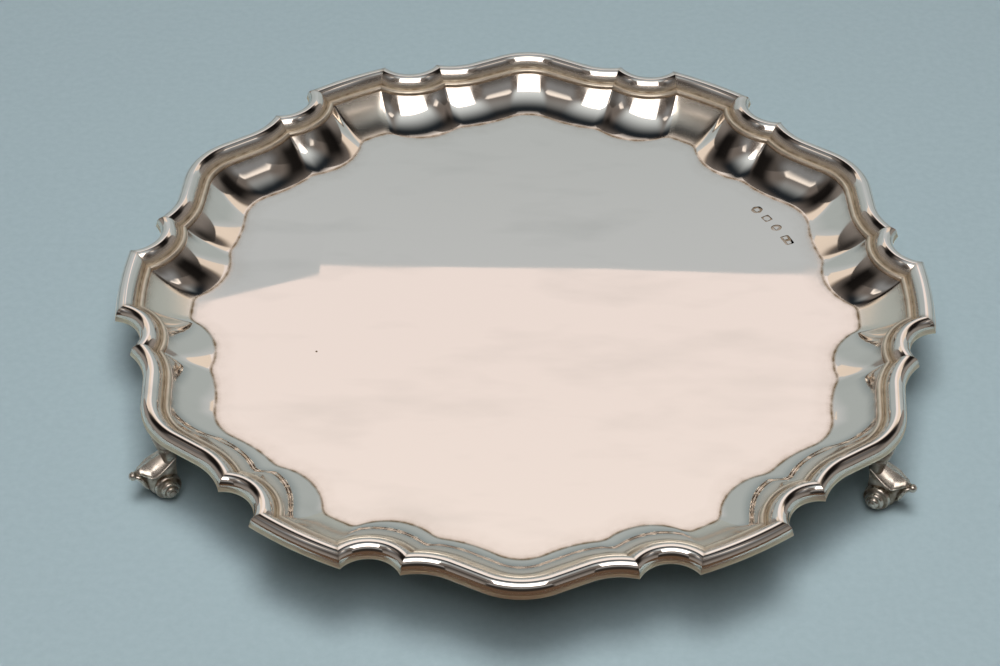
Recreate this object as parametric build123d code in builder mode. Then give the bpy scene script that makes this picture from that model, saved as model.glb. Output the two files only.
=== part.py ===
"""Silver salver: a raised sheet tray with a shaped pie-crust border and three cast scroll feet.

The frame is in millimetres, with +Z up. The origin is on the surface that the feet stand on,
under the middle of the tray. The rim repeats six times round: a straight run in the +X direction,
a hollow scallop on each side of it, and a pointed ogee between one pair of scallops and the next.
"""

import os
from math import acos, atan2, cos, degrees, hypot, radians, sin

from build123d import *

# Tray
rim_radius = 127.0  # to the lip at the straight runs and the ogee points
well_top = 17.4  # upper face of the well above the table
sheet = 0.9
repeats = 6
repeat_angle = 360 / repeats

# Depths are measured inwards from the lip
border_width = 8.8
booge_depth = 22.2  # from the lip to the foot of the booge
border_foot_z = well_top + 7.8  # upper face of the flange at the border's inner edge
flange_lip_z = well_top + 8.8  # upper face of the flange at the lip
flange_edge = 1.1
booge_steps = 5
booge_toe_slope = 14.0  # degrees, where the booge meets the well
booge_top_slope = 46.0

# Scallops: a circle whose centre stands outside the rim
scallop_radius = 9.6
scallop_centre_radius = 129.4
scallop_angle = 11.13
scallop_foot_radius = 18.6  # at the foot of the booge
scallop_foot_centre_radius = 115.7
scallop_foot_angle = 10.8

# Ogees: a round peak, two straight flanks and two hollows, along the ogee's own radius
peak_radius = 24.0
peak_foot_radius = 13.8
hollow_radius = 18.6
hollow_out = 136.75  # centre of a hollow, along the ogee's radius
hollow_side = 28.0  # and across it
hollow_foot_radius = 39.8

# Border wire, in section: depth in from the lip, and height
lip_setback = 0.15
lip_face_top = (lip_setback, well_top + 9.0)
roll_foot = (0.35, well_top + 10.0)
roll_middle = (1.1, well_top + 11.53)
crest_outside = (2.95, well_top + 12.3)
crest_inside = (3.35, well_top + 12.3)
shoulder_middle = (4.3, well_top + 11.88)
shoulder_foot = (5.15, well_top + 11.15)
groove_start = (6.35, well_top + 9.35)
groove_middle = (6.6, well_top + 9.0)
groove_end = (7.0, well_top + 8.85)
ridge_top = (7.8, well_top + 9.15)
ridge_foot = (8.6, well_top + 8.6)
buried = 0.5  # how far the wire starts below the flange, before it is cut to it
scallop_sweep = 152  # degrees turned for a scallop and for a hollow, before their mitres are cut
hollow_sweep = 52
past_lip = 1.0  # how far the cutting shapes run out past the lip

# Feet
foot_angles = (90, 210, 330)
volute_reach = 123.9  # from the tray's axis to a volute's centre
volute_steps = ((4.2, 5.6), (3.0, 6.6), (1.7, 7.4), (0.8, 8.0))  # radius and half width of each whorl
leg_half_width = 3.6
leg_top_z = flange_lip_z
# The leg's side, in the upright plane through its own radius: reach from the tray's axis, and height
leg_side = (
    (110.0, leg_top_z), (113.5, 21.0), (117.6, 17.5), (118.9, 13.0), (119.4, 8.0), (120.6, 3.4),
    (127.2, 3.4), (128.2, 9.6), (125.2, 13.0), (124.4, 16.5), (124.2, 20.0), (124.6, leg_top_z),
)  # fmt: skip
# The instep's sections: reach, ridge height, half width and height of the side lobes,
# and half width and height of the base
instep_sections = (
    (122.5, 14.9, 3.9, 12.6, 3.6, 6.0),
    (125.5, 13.8, 4.6, 11.4, 3.8, 5.4),
    (128.4, 12.8, 4.4, 10.0, 2.8, 5.4),
    (131.4, 11.4, 1.9, 9.6, 1.2, 7.2),
    (134.5, 9.7, 0.5, 9.3, 0.4, 9.0),
)


def polar(radius, angle):
    return radius * cos(radians(angle)), radius * sin(radians(angle))


def meet(centre_a, radius_a, centre_b, radius_b):
    """Where two circles cross, on the side nearer to the tray's axis."""
    across = centre_b[0] - centre_a[0], centre_b[1] - centre_a[1]
    gap = hypot(*across)
    along = (radius_a**2 - radius_b**2 + gap**2) / (2 * gap)
    off = (radius_a**2 - along**2) ** 0.5
    unit = across[0] / gap, across[1] / gap
    foot = centre_a[0] + along * unit[0], centre_a[1] + along * unit[1]
    sides = [(foot[0] - k * off * unit[1], foot[1] + k * off * unit[0]) for k in (-1, 1)]
    return min(sides, key=lambda point: hypot(*point))


def end_of_straight(radius, centre, round_centre):
    """Where a straight run's arc crosses the scallop on its left."""
    gap = hypot(*centre)
    along = (radius**2 - round_centre**2 + gap**2) / (2 * gap)
    off = (radius**2 - along**2) ** 0.5
    unit = centre[0] / gap, centre[1] / gap
    return along * unit[0] + off * unit[1], along * unit[1] - off * unit[0]


def arc_middle(centre, start, end):
    """The point of an arc half way between its ends, on the shorter way round."""
    radius = hypot(start[0] - centre[0], start[1] - centre[1])
    half = (start[0] + end[0]) / 2 - centre[0], (start[1] + end[1]) / 2 - centre[1]
    scale = radius / hypot(*half)
    return centre[0] + half[0] * scale, centre[1] + half[1] * scale


def turned(point, angle):
    turn = radians(angle)
    return point[0] * cos(turn) - point[1] * sin(turn), point[0] * sin(turn) + point[1] * cos(turn)


def mirrored(point):
    """The point's image across the ogee's radius."""
    x, y = turned(point, -repeat_angle / 2)
    return turned((x, -y), repeat_angle / 2)


class Outline:
    """The rim's shape at one depth. Down the booge, blend runs from 0 to 1 at its foot."""

    def __init__(self, depth, blend=0.0):
        def mixed(rim, foot):
            return rim + blend * (foot - rim)

        self.straight_radius = rim_radius - depth
        centre_rim = polar(scallop_centre_radius, scallop_angle)
        centre_foot = polar(scallop_foot_centre_radius, scallop_foot_angle)
        self.scallop_centre = tuple(mixed(a, b) for a, b in zip(centre_rim, centre_foot))
        self.scallop_radius = mixed(scallop_radius + min(depth, border_width), scallop_foot_radius)
        self.peak_radius = mixed(peak_radius - min(depth, border_width), peak_foot_radius)
        self.hollow_radius = mixed(hollow_radius + min(depth, border_width), hollow_foot_radius)
        peak_out = self.straight_radius - self.peak_radius
        self.peak_centre = polar(peak_out, repeat_angle / 2)
        self.hollow_centre = turned((hollow_out, -hollow_side), repeat_angle / 2)
        out, side = hollow_out - peak_out, hollow_side
        lean = atan2(side, out) - acos((self.peak_radius + self.hollow_radius) / hypot(out, side))
        normal = polar(1.0, repeat_angle / 2 - degrees(lean))
        self.peak_end = tuple(c + self.peak_radius * n for c, n in zip(self.peak_centre, normal))
        self.hollow_end = tuple(c - self.hollow_radius * n for c, n in zip(self.hollow_centre, normal))
        self.run_end = end_of_straight(self.straight_radius, self.scallop_centre, self.scallop_radius)
        self.cusp = meet(self.scallop_centre, self.scallop_radius, self.hollow_centre, self.hollow_radius)

    def pieces(self):
        """The curves of one repeat: straight run, scallop, ogee and the second scallop."""
        run_start = self.run_end[0], -self.run_end[1]
        scallop = arc_middle(self.scallop_centre, self.run_end, self.cusp)
        hollow = arc_middle(self.hollow_centre, self.cusp, self.hollow_end)
        peak = polar(self.straight_radius, repeat_angle / 2)
        return (
            (run_start, (self.straight_radius, 0.0), self.run_end),
            (self.run_end, scallop, self.cusp),
            (self.cusp, hollow, self.hollow_end),
            (self.hollow_end, self.peak_end),
            (self.peak_end, peak, mirrored(self.peak_end)),
            (mirrored(self.peak_end), mirrored(self.hollow_end)),
            (mirrored(self.hollow_end), mirrored(hollow), mirrored(self.cusp)),
            (mirrored(self.cusp), mirrored(scallop), mirrored(self.run_end)),
        )


def outline_face(outline, z):
    """The rim's outline as a level face at a height."""
    with BuildSketch(Plane.XY.offset(z)) as level:
        with BuildLine():
            for k in range(repeats):
                for piece in outline.pieces():
                    points = [turned(point, k * repeat_angle) for point in piece]
                    if len(points) == 3:
                        ThreePointArc(*points)
                    else:
                        Line(*points)
        make_face()
    return level.sketch


def booge_levels():
    """Depth, height and blend of each level of the cove, from its foot up to the border."""
    toe, top = radians(booge_toe_slope), radians(booge_top_slope)
    for step in range(booge_steps + 1):
        slope = toe + (top - toe) * step / booge_steps
        along = (sin(slope) - sin(toe)) / (sin(top) - sin(toe))
        rise = (cos(toe) - cos(slope)) / (cos(toe) - cos(top))
        depth = booge_depth + along * (border_width - booge_depth)
        yield depth, well_top + rise * (border_foot_z - well_top), 1 - along


lip = Outline(0)
lip_under_z = flange_lip_z - flange_edge
# The space over the sheet runs out past the lip, on the flange's own slope
past_z = flange_lip_z + past_lip * (flange_lip_z - border_foot_z) / border_width

under = [outline_face(Outline(depth, blend), z - sheet) for depth, z, blend in booge_levels()]
under.append(outline_face(lip, lip_under_z))
space = [outline_face(Outline(depth, blend), z) for depth, z, blend in booge_levels()]
space.append(outline_face(Outline(-past_lip), past_z))

with BuildPart() as salver_plate:
    loft(sections=under, ruled=True)
    extrude(to_extrude=under[-1], amount=flange_edge)
    loft(sections=space, ruled=True, mode=Mode.SUBTRACT)


def wire_profile(plane, radius, inward):
    """The border wire's section in an upright plane that starts at the centre of its curve.

    radius is the lip's. inward is -1 where depth runs towards that centre, and 1 where it runs away.
    """

    def at(mark):
        depth, z = mark
        return radius + inward * depth, z

    base_outside = at((lip_setback, flange_lip_z - buried))
    base_inside = at((ridge_foot[0], border_foot_z - buried))
    with BuildSketch(plane) as section:
        with BuildLine():
            Line(base_outside, at(lip_face_top))
            Line(at(lip_face_top), at(roll_foot))
            ThreePointArc(at(roll_foot), at(roll_middle), at(crest_outside))
            Line(at(crest_outside), at(crest_inside))
            ThreePointArc(at(crest_inside), at(shoulder_middle), at(shoulder_foot))
            Line(at(shoulder_foot), at(groove_start))
            ThreePointArc(at(groove_start), at(groove_middle), at(groove_end))
            ThreePointArc(at(groove_end), at(ridge_top), at(ridge_foot))
            Line(at(ridge_foot), base_inside)
            Line(base_inside, base_outside)
        make_face()
    return section.sketch


def upright_plane(centre, angle):
    """An upright plane through a point, with X pointing out along the angle and Y up."""
    out = Vector(*polar(1, angle), 0)
    return Plane(origin=(*centre, 0), x_dir=out, z_dir=out.cross(Vector(0, 0, 1)))


# Mitre curves, which run in from the lip across the border
mitre_depths = (-past_lip, border_width / 2, border_width + past_lip)
mitre_outlines = [Outline(depth) for depth in mitre_depths]
run_mitre = [outline.run_end for outline in mitre_outlines]
cusp_mitre = [outline.cusp for outline in mitre_outlines]
run_mitre_right = [(x, -y) for x, y in run_mitre]
cusp_mitre_far = [mirrored(point) for point in cusp_mitre]


def between_mitres(first, second, outside):
    """The plan between two mitre curves. outside is a point past the lip between them."""
    with BuildSketch(Plane.XY.offset(well_top)) as plan:
        with BuildLine():
            ThreePointArc(*first)
            Line(first[2], second[2])
            ThreePointArc(*reversed(second))
            Line(second[0], outside)
            Line(outside, first[0])
        make_face()
    return plan.sketch


def angle_from(centre, point):
    return degrees(atan2(point[1] - centre[1], point[0] - centre[0]))


trim_height = crest_outside[1] - well_top + past_lip
trim_reach = rim_radius + 20  # well outside every part of the rim
scallop_trim_reach = rim_radius + 6

with BuildPart() as border_straight:
    start = angle_from((0, 0), run_mitre_right[0]) - 1
    section = wire_profile(upright_plane((0, 0), start), rim_radius, -1)
    revolve(profiles=section, axis=Axis.Z, revolution_arc=-2 * start)
    plan = between_mitres(run_mitre_right, run_mitre, (trim_reach, 0))
    extrude(to_extrude=plan, amount=trim_height, mode=Mode.INTERSECT)
    add(salver_plate.part, mode=Mode.SUBTRACT)

with BuildPart() as border_scallop:
    centre = polar(scallop_centre_radius, scallop_angle)
    start = angle_from(centre, (0, 0)) - scallop_sweep / 2
    section = wire_profile(upright_plane(centre, start), scallop_radius, 1)
    revolve(profiles=section, axis=Axis((*centre, 0), (0, 0, 1)), revolution_arc=scallop_sweep)
    plan = between_mitres(run_mitre, cusp_mitre, polar(scallop_trim_reach, scallop_angle))
    extrude(to_extrude=plan, amount=trim_height, mode=Mode.INTERSECT)
    add(salver_plate.part, mode=Mode.SUBTRACT)

with BuildPart() as border_ogee:
    ogee_angle = repeat_angle / 2
    flank = hypot(lip.peak_end[0] - lip.hollow_end[0], lip.peak_end[1] - lip.hollow_end[1])
    peak_half = ogee_angle - angle_from(lip.peak_centre, lip.peak_end)
    peak_axis = Axis((*lip.peak_centre, 0), (0, 0, 1))
    right_end = (-1, lip.peak_end, lip.hollow_centre)
    left_end = (1, mirrored(lip.peak_end), mirrored(lip.hollow_centre))
    for side, flank_end, hollow_centre in (right_end, left_end):
        start = ogee_angle + side * peak_half
        half_peak = wire_profile(upright_plane(lip.peak_centre, start), peak_radius, -1)
        revolve(profiles=half_peak, axis=peak_axis, revolution_arc=-side * peak_half)
        straight_flank = wire_profile(upright_plane(flank_end, start), 0, -1)
        extrude(to_extrude=straight_flank, amount=-side * flank)
        hollow_end = wire_profile(upright_plane(hollow_centre, start + 180), hollow_radius, 1)
        hollow_axis = Axis((*hollow_centre, 0), (0, 0, 1))
        revolve(profiles=hollow_end, axis=hollow_axis, revolution_arc=-side * hollow_sweep)
    plan = between_mitres(cusp_mitre, cusp_mitre_far, polar(trim_reach, ogee_angle))
    extrude(to_extrude=plan, amount=trim_height, mode=Mode.INTERSECT)
    add(salver_plate.part, mode=Mode.SUBTRACT)

with BuildPart() as foot:
    with BuildSketch(Plane.XZ):
        with BuildLine():
            Polyline(*leg_side, close=True)
        make_face()
    extrude(amount=leg_half_width, both=True)
    for reach, ridge, lobe_half, lobe_z, base_half, base_z in instep_sections:
        with BuildSketch(Plane.YZ.offset(reach)):
            with BuildLine():
                Polyline(
                    (0, ridge), (lobe_half, lobe_z), (base_half, base_z),
                    (-base_half, base_z), (-lobe_half, lobe_z), close=True,
                )  # fmt: skip
            make_face()
    loft(ruled=True)
    for whorl_radius, half_width in volute_steps:
        with BuildSketch(Plane.XZ):
            with Locations((volute_reach, volute_steps[0][0])):
                Circle(whorl_radius)
        extrude(amount=half_width, both=True)


def save(solid, name):
    solid.label = name
    export_step(solid, f"parts/{name}.step")


os.makedirs("parts", exist_ok=True)
save(salver_plate.part, "salver_plate")
for k in range(repeats):
    angle = k * repeat_angle
    save(border_straight.part.rotate(Axis.Z, angle), f"border_straight_{k + 1}")
    save(border_ogee.part.rotate(Axis.Z, angle), f"border_ogee_{k + 1}")
    save(border_scallop.part.rotate(Axis.Z, angle), f"border_scallop_{2 * k + 1}")
    other_side = mirror(border_scallop.part, about=Plane.XZ)
    save(other_side.rotate(Axis.Z, angle), f"border_scallop_{2 * k + 2}")

for k, angle in enumerate(foot_angles):
    with BuildPart() as placed_foot:
        add(foot.part.rotate(Axis.Z, angle))
        add(salver_plate.part, mode=Mode.SUBTRACT)
    # The cut leaves the leg below the sheet and a stump of it above, and only the leg is kept
    kept = placed_foot.part.solids().sort_by(Axis.Z)[0]
    save(kept, f"foot_{k + 1}")
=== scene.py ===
from math import acos, atan2, copysign, cos, exp, hypot, pi, radians, sin, tan

import bmesh
import bpy
from bpy.props import FloatProperty, FloatVectorProperty, PointerProperty
from mathutils import Matrix, Vector


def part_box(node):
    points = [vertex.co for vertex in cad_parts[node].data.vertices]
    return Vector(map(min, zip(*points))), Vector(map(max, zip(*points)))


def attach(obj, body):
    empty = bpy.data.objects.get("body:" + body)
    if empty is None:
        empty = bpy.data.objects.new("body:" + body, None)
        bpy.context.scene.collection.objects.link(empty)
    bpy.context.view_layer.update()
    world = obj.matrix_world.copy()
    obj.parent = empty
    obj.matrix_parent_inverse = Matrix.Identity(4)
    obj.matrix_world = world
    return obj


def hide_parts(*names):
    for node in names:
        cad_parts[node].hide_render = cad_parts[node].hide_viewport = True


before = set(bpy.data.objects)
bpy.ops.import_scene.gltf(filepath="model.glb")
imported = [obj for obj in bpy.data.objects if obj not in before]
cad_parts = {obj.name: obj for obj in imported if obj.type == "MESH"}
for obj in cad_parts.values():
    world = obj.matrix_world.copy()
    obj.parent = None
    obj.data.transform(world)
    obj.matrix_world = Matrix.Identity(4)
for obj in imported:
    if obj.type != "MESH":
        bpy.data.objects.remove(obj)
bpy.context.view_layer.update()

bl_info = {
    "name": "Silver Salver",
    "version": (1, 0, 0),
    "blender": (4, 5, 0),
    "location": "3D View > Sidebar > Salver",
    "description": "Builds a footed silver salver with a mitred pie-crust border",
    "category": "Add Mesh",
}

MM = 0.001
TRAY_LOW, TRAY_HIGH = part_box("salver_plate")
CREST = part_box("border_straight_1")[1][2]
REPEATS = 6
REPEAT_ANGLE = 2 * pi / REPEATS
FOOT_ANGLES = (radians(90), radians(210), radians(330))


def linear(code):
    """Linear RGBA of an sRGB hex colour."""
    parts = [int(code[k : k + 2], 16) / 255 for k in (1, 3, 5)]
    return (*((c / 12.92 if c <= 0.04045 else ((c + 0.055) / 1.055) ** 2.4) for c in parts), 1)


# ---------------------------------------------------------------- sizes and colours


class SalverTraySettings(bpy.types.PropertyGroup):
    rim_radius: FloatProperty(
        name="Rim radius",
        description="From the tray's axis to the lip at its straight runs",
        default=TRAY_HIGH[0],
        unit="LENGTH",
    )
    sheet: FloatProperty(
        name="Sheet", description="Thickness of the raised sheet", default=0.9 * MM, unit="LENGTH"
    )
    flange_edge: FloatProperty(
        name="Flange edge",
        description="Height of the sheet's edge at the lip",
        default=1.1 * MM,
        unit="LENGTH",
    )
    border_width: FloatProperty(
        name="Border width",
        description="From the lip in to the top of the cove",
        default=8.8 * MM,
        unit="LENGTH",
    )
    border_seat: FloatProperty(
        name="Border seat",
        description="From the lip's level down to the top of the cove",
        default=1.0 * MM,
        unit="LENGTH",
    )
    cove_depth: FloatProperty(
        name="Cove depth",
        description="From the lip in to the foot of the cove",
        default=22.2 * MM,
        unit="LENGTH",
    )
    cove_toe: FloatProperty(
        name="Cove toe slope", description="Slope at the foot of the cove", default=radians(14), subtype="ANGLE"
    )
    cove_top: FloatProperty(
        name="Cove top slope", description="Slope at the top of the cove", default=radians(46), subtype="ANGLE"
    )
    foot_turn: FloatProperty(
        name="Foot turn",
        description="Half length of the rounded turn into the well",
        default=0.3 * MM,
        unit="LENGTH",
    )


class SalverFinishSettings(bpy.types.PropertyGroup):
    silver: FloatVectorProperty(
        name="Silver",
        description="Polished sterling silver",
        subtype="COLOR",
        size=3,
        default=linear("#faefe5")[:3],
    )
    tarnish: FloatVectorProperty(
        name="Tarnish",
        description="Brown sulphide left in the hollows",
        subtype="COLOR",
        size=3,
        default=linear("#998165")[:3],
    )
    # On the feet this colour also paints shade under the tray, where their tarnish values are raised
    grime_and_shade: FloatVectorProperty(
        name="Grime",
        description="Darker sulphide and old polish left in cast detail",
        subtype="COLOR",
        size=3,
        default=linear("#6f5b45")[:3],
    )
    roughness: FloatProperty(
        name="Roughness", description="Roughness of the hand-polished surface", default=0.014, min=0, max=1
    )


class SalverStageSettings(bpy.types.PropertyGroup):
    floor_size: FloatProperty(name="Floor size", description="Side of the floor", default=9.0, unit="LENGTH")
    camera_distance: FloatProperty(
        name="Camera distance", description="From the camera to its aim point", default=0.736, unit="LENGTH"
    )
    camera_elevation: FloatProperty(
        name="Camera elevation", description="Angle above the table", default=radians(41.8), subtype="ANGLE"
    )
    camera_azimuth: FloatProperty(
        name="Camera azimuth",
        description="Turn of the camera round the tray",
        default=radians(1.01),
        subtype="ANGLE",
    )
    camera_roll: FloatProperty(
        name="Camera roll",
        description="Turn of the camera about its own axis",
        default=radians(0.17),
        subtype="ANGLE",
    )
    camera_aim: FloatVectorProperty(
        name="Camera aim",
        description="Point in the middle of the view",
        default=(-0.0076, -0.0103, 0.0183),
        unit="LENGTH",
    )
    camera_lens: FloatProperty(
        name="Camera lens", description="Focal length in millimetres over a 36 mm sensor", default=85.18
    )


def heights(tray):
    """Levels of the well, of the border's seat at the top of the cove, and of the lip."""
    return TRAY_LOW[2] + tray.sheet, TRAY_HIGH[2] - tray.border_seat, TRAY_HIGH[2]


# ---------------------------------------------------------------- the rim's outline


def polar(radius, angle):
    return Vector((radius * cos(angle), radius * sin(angle)))


def turned(point, angle):
    return Matrix.Rotation(angle, 2) @ point


def mirrored(point):
    """The point's image across the radius through the middle of an ogee."""
    flat = turned(point, -REPEAT_ANGLE / 2)
    return turned(Vector((flat.x, -flat.y)), REPEAT_ANGLE / 2)


def meet(centre_a, radius_a, centre_b, radius_b):
    """The points where two circles cross, to the right and to the left of the way from a to b."""
    across = centre_b - centre_a
    gap = across.length
    along = (radius_a**2 - radius_b**2 + gap**2) / (2 * gap)
    off = (radius_a**2 - along**2) ** 0.5
    unit = across / gap
    foot = centre_a + along * unit
    normal = Vector((-unit.y, unit.x))
    return foot - off * normal, foot + off * normal


class Outline:
    """The rim's plan at one depth in from the lip. Below the border, blend runs to 1 at the cove's foot.

    It is made of circles, and lines that touch two of them. Sizes named FOOT are those at the cove's foot.
    """

    # Radius of the scallop, and the distance and angle of its centre
    SCALLOP = (9.6 * MM, 129.4 * MM, radians(11.13))
    SCALLOP_FOOT = (18.6 * MM, 115.7 * MM, radians(10.8))
    # Radii of the ogee's peak and of the hollows beside it
    PEAK, PEAK_FOOT = 24.0 * MM, 13.8 * MM
    HOLLOW, HOLLOW_FOOT = 18.6 * MM, 39.8 * MM
    # The hollows' centres, out along the ogee's middle and to its sides
    HOLLOW_OUT, HOLLOW_SIDE = 136.75 * MM, 28.0 * MM

    def __init__(self, tray, depth, blend=0.0):
        held = min(depth, tray.border_width)
        self.run = tray.rim_radius - depth
        self.scallop_radius = (1 - blend) * (self.SCALLOP[0] + held) + blend * self.SCALLOP_FOOT[0]
        self.scallop_centre = polar(*self.SCALLOP[1:]).lerp(polar(*self.SCALLOP_FOOT[1:]), blend)
        self.peak_radius = (1 - blend) * (self.PEAK - held) + blend * self.PEAK_FOOT
        self.hollow_radius = (1 - blend) * (self.HOLLOW + held) + blend * self.HOLLOW_FOOT
        self.peak_centre = polar(self.run - self.peak_radius, REPEAT_ANGLE / 2)
        self.hollow_centre = turned(Vector((self.HOLLOW_OUT, -self.HOLLOW_SIDE)), REPEAT_ANGLE / 2)
        across = self.HOLLOW_OUT - self.peak_centre.length
        lean = atan2(self.HOLLOW_SIDE, across)
        lean -= acos((self.peak_radius + self.hollow_radius) / hypot(across, self.HOLLOW_SIDE))
        normal = polar(1, REPEAT_ANGLE / 2 - lean)
        self.peak_end = self.peak_centre + self.peak_radius * normal
        self.hollow_end = self.hollow_centre - self.hollow_radius * normal
        scallop = self.scallop_centre, self.scallop_radius
        self.run_end = meet(Vector((0, 0)), self.run, *scallop)[0]
        self.cusp = min(meet(*scallop, self.hollow_centre, self.hollow_radius), key=lambda point: point.length)

    def piece(self, name):
        """(centre or None for a straight, start, end) of one piece of the outline."""
        run_start = Vector((self.run_end.x, -self.run_end.y))
        return {
            "run": (Vector((0, 0)), run_start, self.run_end),
            "scallop": (self.scallop_centre, self.run_end, self.cusp),
            "hollow": (self.hollow_centre, self.cusp, self.hollow_end),
            "flank": (None, self.hollow_end, self.peak_end),
            "peak": (self.peak_centre, self.peak_end, mirrored(self.peak_end)),
            "flank_back": (None, mirrored(self.peak_end), mirrored(self.hollow_end)),
            "hollow_back": (mirrored(self.hollow_centre), mirrored(self.hollow_end), mirrored(self.cusp)),
            "scallop_back": (mirrored(self.scallop_centre), mirrored(self.cusp), mirrored(self.run_end)),
        }[name]

    def points(self, name, steps):
        """Evenly spaced points of one piece, both ends included."""
        centre, start, end = self.piece(name)
        if centre is None:
            return [start.lerp(end, k / steps) for k in range(steps + 1)]
        first = start - centre
        turn = first.angle_signed(end - centre)  # Blender counts clockwise turns as positive
        return [centre + Matrix.Rotation(-turn * k / steps, 2) @ first for k in range(steps + 1)]


STEPS = {
    "run": 24,
    "scallop": 36,
    "hollow": 26,
    "flank": 8,
    "peak": 24,
    "flank_back": 8,
    "hollow_back": 26,
    "scallop_back": 36,
}
OGEE = ("hollow", "flank", "peak", "flank_back", "hollow_back")
CORNERS = ("scallop", "hollow", "scallop_back", "run")  # pieces that start at a sharp corner
CORNER_SPAN = 4  # steps to each side of a corner that its round takes in


def ring(tray, depth, z, blend=0.0, rounding=0.0):
    """The whole outline at one level, as points in order. rounding runs to 1 for full rounds at the corners."""
    outline = Outline(tray, depth, blend)
    repeat, corners = [], []
    for name, steps in STEPS.items():
        if name in CORNERS:
            corners.append(len(repeat))
        repeat += outline.points(name, steps)[:-1]
    points = [turned(point, k * REPEAT_ANGLE) for k in range(REPEATS) for point in repeat]
    if rounding:
        sharp = list(points)
        total = len(points)
        for corner in (k * len(repeat) + c for k in range(REPEATS) for c in corners):
            first, tip, last = (sharp[(corner + k) % total] for k in (-CORNER_SPAN, 0, CORNER_SPAN))
            for k in range(-CORNER_SPAN, CORNER_SPAN + 1):
                t = (k + CORNER_SPAN) / (2 * CORNER_SPAN)
                soft = first.lerp(tip, t).lerp(tip.lerp(last, t), t)
                points[(corner + k) % total] = sharp[(corner + k) % total].lerp(soft, rounding)
    return [point.to_3d() + Vector((0, 0, z)) for point in points]


# ---------------------------------------------------------------- mesh tools


def coats(bm):
    """The vertex layers that carry tarnish, with painted shade on the feet, and wear. They are made before any
    vertex is.
    """
    layers = bm.verts.layers.float
    return [layers.get(name) or layers.new(name) for name in ("tarnish", "wear")]


def edge_loop(verts):
    """The edges that join a closed row of vertices, in order."""
    return [
        next(edge for edge in vert.link_edges if edge.other_vert(vert) == verts[i - 1])
        for i, vert in enumerate(verts)
    ]


def extruded(bm, row):
    """Extrudes a closed row of vertices, and returns the new row in the same order."""
    made = bmesh.ops.extrude_edge_only(bm, edges=edge_loop(row))["geom"]
    made = {part for part in made if isinstance(part, bmesh.types.BMVert)}
    return [next(end for edge in vert.link_edges if (end := edge.other_vert(vert)) in made) for vert in row]


def loft(bm, loops, tarnish=None, first_cap=True, last_cap=True):
    """A skin through closed loops of points, each extruded from the last. Returns the vertices by loop."""
    layer = coats(bm)[0]
    made = bmesh.ops.create_circle(bm, cap_ends=first_cap, segments=len(loops[0]), radius=1)
    rows = [made["verts"]]
    for k, loop in enumerate(loops):
        if k:
            rows.append(extruded(bm, rows[-1]))
        for vert, point in zip(rows[-1], loop):
            vert.co = point
            vert[layer] = tarnish[k] if tarnish else 0
    if last_cap:
        bmesh.ops.edgeloop_fill(bm, edges=edge_loop(rows[-1]))
    return rows


def arc(start, middle, end, steps):
    """Points of the arc through three points, both ends included."""
    a, b, c = (Vector(p) for p in (start, middle, end))
    d = 2 * (a.x * (b.y - c.y) + b.x * (c.y - a.y) + c.x * (a.y - b.y))
    squares = a.length_squared, b.length_squared, c.length_squared
    centre = Vector(
        (
            sum(s * y for s, y in zip(squares, (b.y - c.y, c.y - a.y, a.y - b.y))) / d,
            sum(s * x for s, x in zip(squares, (c.x - b.x, a.x - c.x, b.x - a.x))) / d,
        )
    )
    turn = (a - centre).angle_signed(b - centre) + (b - centre).angle_signed(c - centre)
    return [centre + Matrix.Rotation(-turn * k / steps, 2) @ (a - centre) for k in range(steps + 1)]


def shells(bm):
    """The faces of each separate shell."""
    left = set(bm.faces)
    while left:
        reached, shell = [left.pop()], []
        while reached:
            face = reached.pop()
            shell.append(face)
            near = {other for edge in face.edges for other in edge.link_faces} & left
            left -= near
            reached += near
        yield shell


def six_volumes(shell):
    """Six times the volume that a closed shell holds, negative if its faces point in."""
    return sum(
        face.verts[0].co.dot(a.co.cross(b.co))
        for face in shell
        for a, b in zip(face.verts[1:], face.verts[2:])
    )


def face_order(total):
    """A sorting key by the lowest, the highest and the mean number of a face's vertices."""

    def key(face):
        numbers = [vert.index for vert in face.verts]
        return (min(numbers) * total + max(numbers)) * total + sum(numbers) / len(numbers)

    return key


def new_object(bm, name, material):
    """Puts the mesh in the scene as an object of one material."""
    mesh = bpy.data.meshes.new(name)
    bm.to_mesh(mesh)
    bm.free()
    mesh.materials.append(material)
    made = bpy.data.objects.new(name, mesh)
    bpy.context.scene.collection.objects.link(made)
    return made


def finish_mesh(bm, name, material, node, sharp=radians(38)):
    """Makes the piece, marks its sharp edges, and ties it to the frame."""
    bmesh.ops.recalc_face_normals(bm, faces=bm.faces)
    for shell in list(shells(bm)):
        # The recalculation can turn a deeply hollowed shell inside out
        if six_volumes(shell) < 0:
            bmesh.ops.reverse_faces(bm, faces=shell)
    # An extrusion makes its faces in no fixed order
    bm.verts.index_update()
    bm.faces.sort(key=face_order(len(bm.verts)))
    for face in bm.faces:
        face.smooth = True
    for edge in bm.edges:
        edge.smooth = len(edge.link_faces) != 2 or edge.calc_face_angle() < sharp
    piece = new_object(bm, name, material)
    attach(piece, "root")
    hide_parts(node)


# ---------------------------------------------------------------- materials


def new_material(name):
    """A material with an empty node tree."""
    material = bpy.data.materials.new(name)
    material.use_nodes = True
    material.node_tree.nodes.clear()
    return material


def add_node(tree, kind, settings=None, links=None):
    """Adds a node, sets its sockets and properties by name, and links its inputs."""
    node = tree.nodes.new(kind)
    for name, value in (settings or {}).items():
        if isinstance(name, int) or name in node.inputs:
            node.inputs[name].default_value = value
        else:
            setattr(node, name, value)
    for name, source in (links or {}).items():
        tree.links.new(source, node.inputs[name])
    return node


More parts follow.
